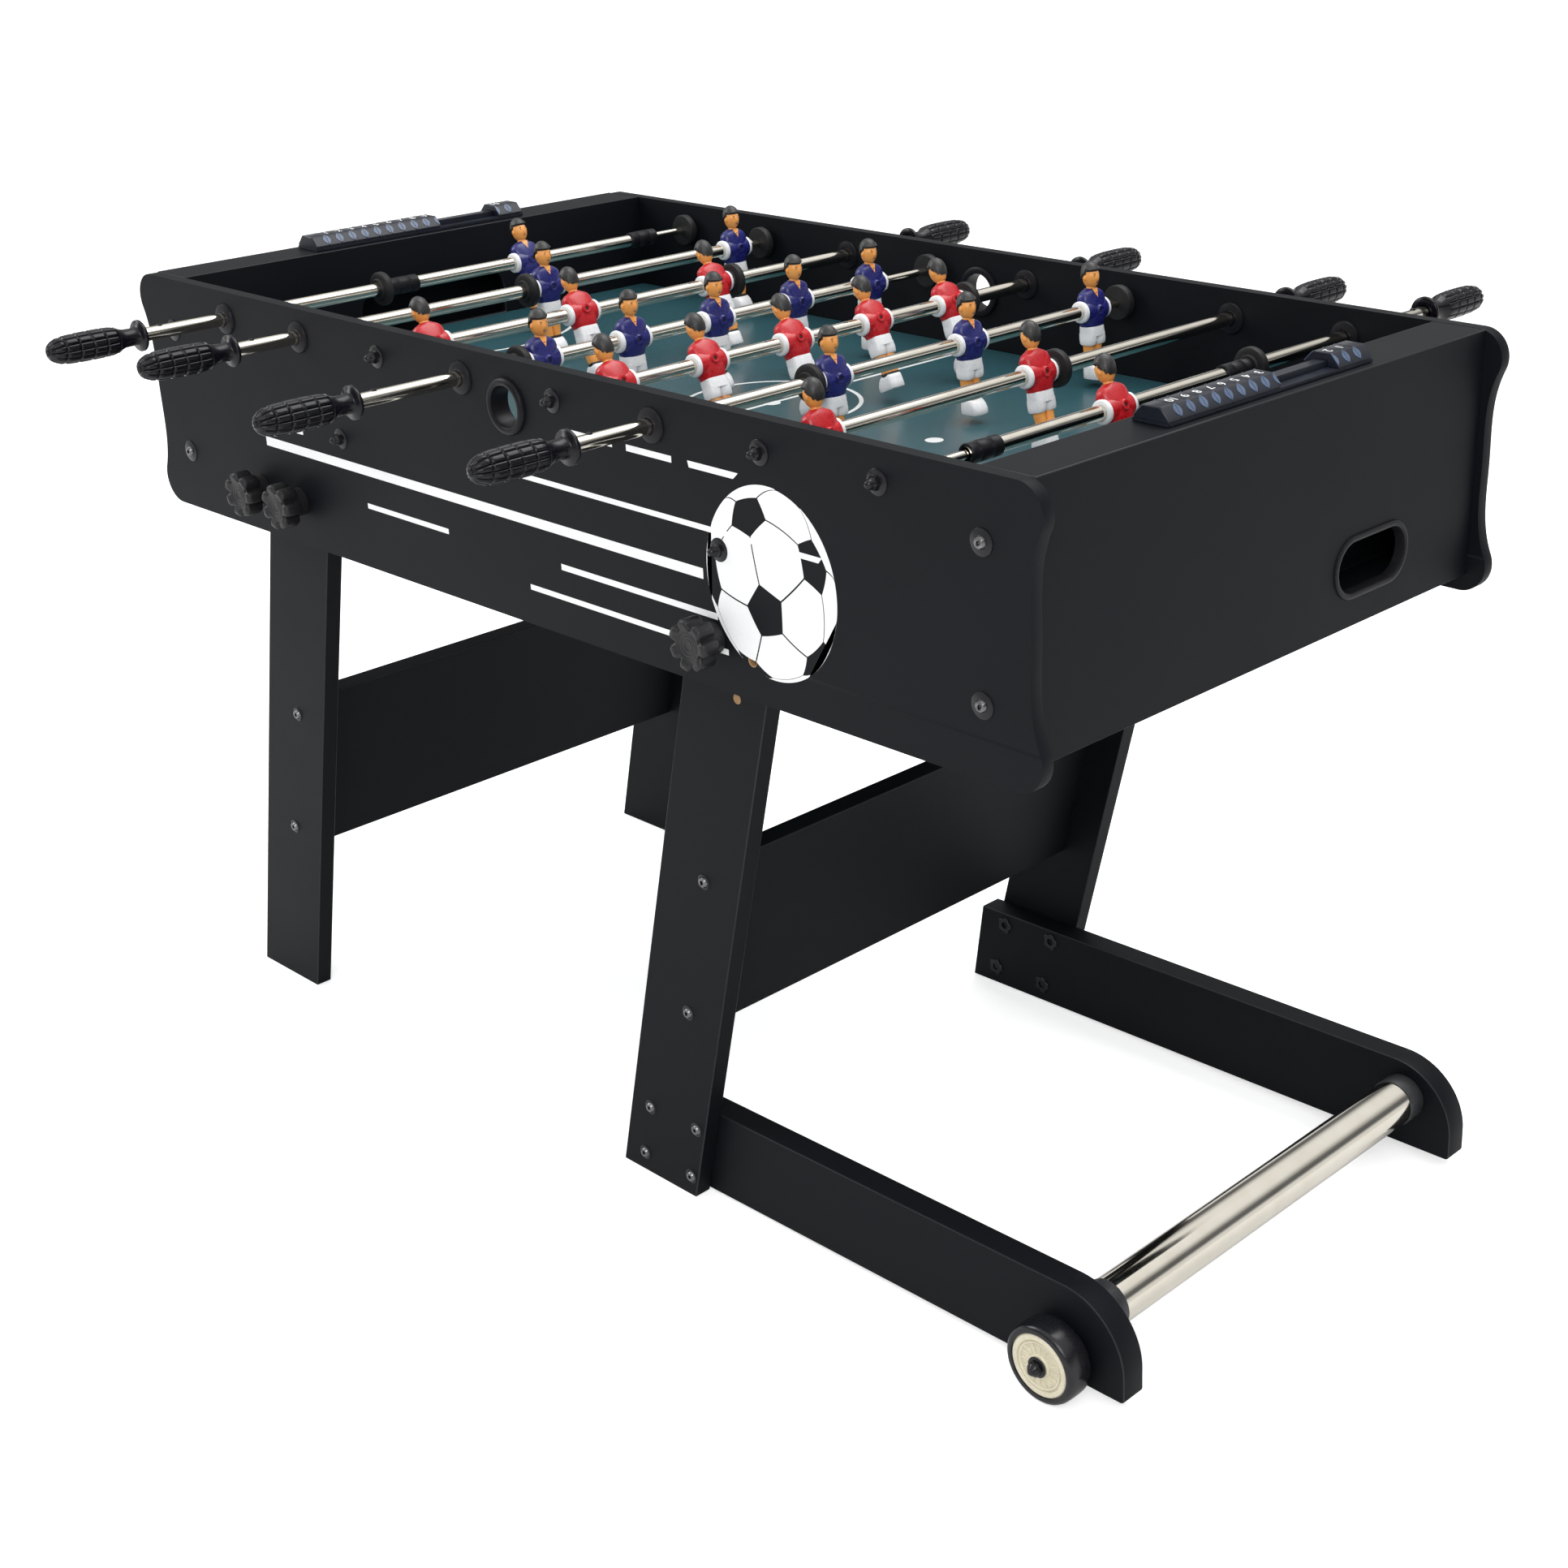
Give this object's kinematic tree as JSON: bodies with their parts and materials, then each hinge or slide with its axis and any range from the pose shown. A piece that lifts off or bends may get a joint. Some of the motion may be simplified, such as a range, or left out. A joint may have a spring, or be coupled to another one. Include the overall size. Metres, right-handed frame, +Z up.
{
  "type": "folding foosball table",
  "caption": "Folding table football table: box with playfield, spinning rods of moulded men, leaning panel legs and a wheeled base.",
  "frame": {"origin": "on the floor under the middle of the whole outline, grips and base rails included", "axes": "+Z up, X along the table with +X at the wheeled end, Y across it with the blue team's handles at -Y"},
  "size_m": [1.2576, 1.0404, 0.8146],
  "materials": {
    "black_laminate": "black laminated fibreboard, fine grain",
    "playfield": "dark teal laminate with white line markings",
    "chrome": "bright chrome",
    "black_plastic": "satin black",
    "rubber": "black",
    "blue_men": "blue and white moulded men on a chromed tube",
    "red_men": "red and white moulded men on a chromed tube",
    "tyre": "black moulded wheel with a cream hub ring"
  },
  "bodies": {
    "wheeled_frame": {"base_cross_tube": "chrome", "base_rail_front": "black_laminate", "base_rail_rear": "black_laminate", "wheeled_leg_front": "black_laminate", "wheeled_leg_rear": "black_laminate", "wheeled_stretcher": "black_laminate"},
    "cabinet": {"side_panel_front": "black_laminate", "side_panel_rear": "black_laminate", "end_box_plain": "black_laminate", "end_box_wheeled": "black_laminate", "playfield": "playfield", "ball_cup_front": "black_plastic", "ball_cup_rear": "black_plastic", "scorer_plain": "black_plastic", "scorer_wheeled": "black_plastic", "guide_rod_1": "chrome", "guide_rod_2": "chrome", "guide_rod_3": "chrome", "guide_rod_4": "chrome", "guide_rod_5": "chrome", "guide_rod_6": "chrome", "guide_rod_7": "chrome", "guide_rod_8": "chrome"},
    "plain_legs": {"plain_leg_front": "black_laminate", "plain_leg_rear": "black_laminate", "plain_stretcher": "black_laminate"},
    "wheel_front": {"wheel_front": "tyre"},
    "wheel_rear": {"wheel_rear": "tyre"},
    "rod_1_slide_ring": {"bumper_1": "rubber"},
    "rod_1": {"rod_1_blue_men": "blue_men", "handle_1": "black_plastic"},
    "rod_2_slide_ring": {"bumper_2": "rubber"},
    "rod_2": {"rod_2_blue_men": "blue_men", "handle_2": "black_plastic"},
    "rod_3_slide_ring": {"bumper_3": "rubber"},
    "rod_3": {"rod_3_red_men": "red_men", "handle_3": "black_plastic"},
    "rod_4_slide_ring": {"bumper_4": "rubber"},
    "rod_4": {"rod_4_blue_men": "blue_men", "handle_4": "black_plastic"},
    "rod_5_slide_ring": {"bumper_5": "rubber"},
    "rod_5": {"rod_5_red_men": "red_men", "handle_5": "black_plastic"},
    "rod_6_slide_ring": {"bumper_6": "rubber"},
    "rod_6": {"rod_6_blue_men": "blue_men", "handle_6": "black_plastic"},
    "rod_7_slide_ring": {"bumper_7": "rubber"},
    "rod_7": {"rod_7_red_men": "red_men", "handle_7": "black_plastic"},
    "rod_8_slide_ring": {"bumper_8": "rubber"},
    "rod_8": {"rod_8_red_men": "red_men", "handle_8": "black_plastic"},
    "knob_plain_legs_front": {"knob_plain_legs_front": "black_plastic"},
    "knob_plain_legs_lock_front": {"knob_plain_legs_lock_front": "black_plastic"},
    "knob_plain_legs_lock_rear": {"knob_plain_legs_lock_rear": "black_plastic"},
    "knob_plain_legs_rear": {"knob_plain_legs_rear": "black_plastic"},
    "knob_wheeled_legs_front": {"knob_wheeled_legs_front": "black_plastic"},
    "knob_wheeled_legs_rear": {"knob_wheeled_legs_rear": "black_plastic"},
    "scorer_plain_beads": {"scorer_plain_beads": "black_plastic"},
    "scorer_wheeled_beads": {"scorer_wheeled_beads": "black_plastic"}
  },
  "joints": [
    {"name": "cabinet_tilt", "type": "hinge", "parent": "wheeled_frame", "child": "cabinet", "pos_m": [0.22859, -0.0045, 0.602], "axis": [0, 1, 0], "range_deg": [0, 89]},
    {"name": "plain_legs_fold", "type": "hinge", "parent": "cabinet", "child": "plain_legs", "pos_m": [-0.44001, -0.0045, 0.602], "axis": [0, -1, 0], "range_deg": [0, 98.01]},
    {"name": "wheel_front_spin", "type": "hinge", "parent": "wheeled_frame", "child": "wheel_front", "pos_m": [0.56399, -0.2745, 0.037], "axis": [0, 1, 0], "continuous": true},
    {"name": "wheel_rear_spin", "type": "hinge", "parent": "wheeled_frame", "child": "wheel_rear", "pos_m": [0.56399, 0.2655, 0.037], "axis": [0, 1, 0], "continuous": true},
    {"name": "rod_1_slide", "type": "slide", "parent": "cabinet", "child": "rod_1_slide_ring", "axis": [0, 1, 0], "range_m": [-0.1566, 0.0366]},
    {"name": "rod_1_spin", "type": "hinge", "parent": "rod_1_slide_ring", "child": "rod_1", "pos_m": [-0.46851, 0.0555, 0.768], "axis": [0, 1, 0], "continuous": true},
    {"name": "rod_2_slide", "type": "slide", "parent": "cabinet", "child": "rod_2_slide_ring", "axis": [0, 1, 0], "range_m": [-0.2446, 0.0106]},
    {"name": "rod_2_spin", "type": "hinge", "parent": "rod_2_slide_ring", "child": "rod_2", "pos_m": [-0.34151, 0.1125, 0.768], "axis": [0, 1, 0], "continuous": true},
    {"name": "rod_3_slide", "type": "slide", "parent": "cabinet", "child": "rod_3_slide_ring", "axis": [0, 1, 0], "range_m": [-0.0101, 0.1541]},
    {"name": "rod_3_spin", "type": "hinge", "parent": "rod_3_slide_ring", "child": "rod_3", "pos_m": [-0.21451, -0.0765, 0.768], "axis": [0, 1, 0], "continuous": true},
    {"name": "rod_4_slide", "type": "slide", "parent": "cabinet", "child": "rod_4_slide_ring", "axis": [0, 1, 0], "range_m": [-0.0376, 0.0576]},
    {"name": "rod_4_spin", "type": "hinge", "parent": "rod_4_slide_ring", "child": "rod_4", "pos_m": [-0.08751, -0.0145, 0.768], "axis": [0, 1, 0], "continuous": true},
    {"name": "rod_5_slide", "type": "slide", "parent": "cabinet", "child": "rod_5_slide_ring", "axis": [0, 1, 0], "range_m": [-0.0186, 0.0766]},
    {"name": "rod_5_spin", "type": "hinge", "parent": "rod_5_slide_ring", "child": "rod_5", "pos_m": [0.03949, -0.0335, 0.768], "axis": [0, 1, 0], "continuous": true},
    {"name": "rod_6_slide", "type": "slide", "parent": "cabinet", "child": "rod_6_slide_ring", "axis": [0, 1, 0], "range_m": [-0.1521, 0.0121]},
    {"name": "rod_6_spin", "type": "hinge", "parent": "rod_6_slide_ring", "child": "rod_6", "pos_m": [0.16649, 0.0655, 0.768], "axis": [0, 1, 0], "continuous": true},
    {"name": "rod_7_slide", "type": "slide", "parent": "cabinet", "child": "rod_7_slide_ring", "axis": [0, 1, 0], "range_m": [-0.0156, 0.2396]},
    {"name": "rod_7_spin", "type": "hinge", "parent": "rod_7_slide_ring", "child": "rod_7", "pos_m": [0.29349, -0.1165, 0.768], "axis": [0, 1, 0], "continuous": true},
    {"name": "rod_8_slide", "type": "slide", "parent": "cabinet", "child": "rod_8_slide_ring", "axis": [0, 1, 0], "range_m": [-0.0646, 0.1286]},
    {"name": "rod_8_spin", "type": "hinge", "parent": "rod_8_slide_ring", "child": "rod_8", "pos_m": [0.42049, -0.0365, 0.768], "axis": [0, 1, 0], "continuous": true},
    {"name": "knob_plain_legs_front_turn", "type": "hinge", "parent": "cabinet", "child": "knob_plain_legs_front", "pos_m": [-0.44001, -0.3135, 0.602], "axis": [0, 1, 0], "continuous": true},
    {"name": "knob_plain_legs_lock_front_turn", "type": "hinge", "parent": "cabinet", "child": "knob_plain_legs_lock_front", "pos_m": [-0.37401, -0.3135, 0.602], "axis": [0, 1, 0], "continuous": true},
    {"name": "knob_plain_legs_lock_rear_turn", "type": "hinge", "parent": "cabinet", "child": "knob_plain_legs_lock_rear", "pos_m": [-0.37401, 0.3045, 0.602], "axis": [0, 1, 0], "continuous": true},
    {"name": "knob_plain_legs_rear_turn", "type": "hinge", "parent": "cabinet", "child": "knob_plain_legs_rear", "pos_m": [-0.44001, 0.3045, 0.602], "axis": [0, 1, 0], "continuous": true},
    {"name": "knob_wheeled_legs_front_turn", "type": "hinge", "parent": "cabinet", "child": "knob_wheeled_legs_front", "pos_m": [0.22859, -0.3135, 0.602], "axis": [0, 1, 0], "continuous": true},
    {"name": "knob_wheeled_legs_rear_turn", "type": "hinge", "parent": "cabinet", "child": "knob_wheeled_legs_rear", "pos_m": [0.22859, 0.3045, 0.602], "axis": [0, 1, 0], "continuous": true},
    {"name": "scorer_plain_slide", "type": "slide", "parent": "cabinet", "child": "scorer_plain_beads", "axis": [0, 1, 0], "range_m": [-0.079, 0]},
    {"name": "scorer_wheeled_slide", "type": "slide", "parent": "cabinet", "child": "scorer_wheeled_beads", "axis": [0, 1, 0], "range_m": [-0.079, 0]}
  ],
  "couplings": [
    {"joint": "plain_legs_fold", "follows": "cabinet_tilt", "ratio": 1.1011}
  ]
}
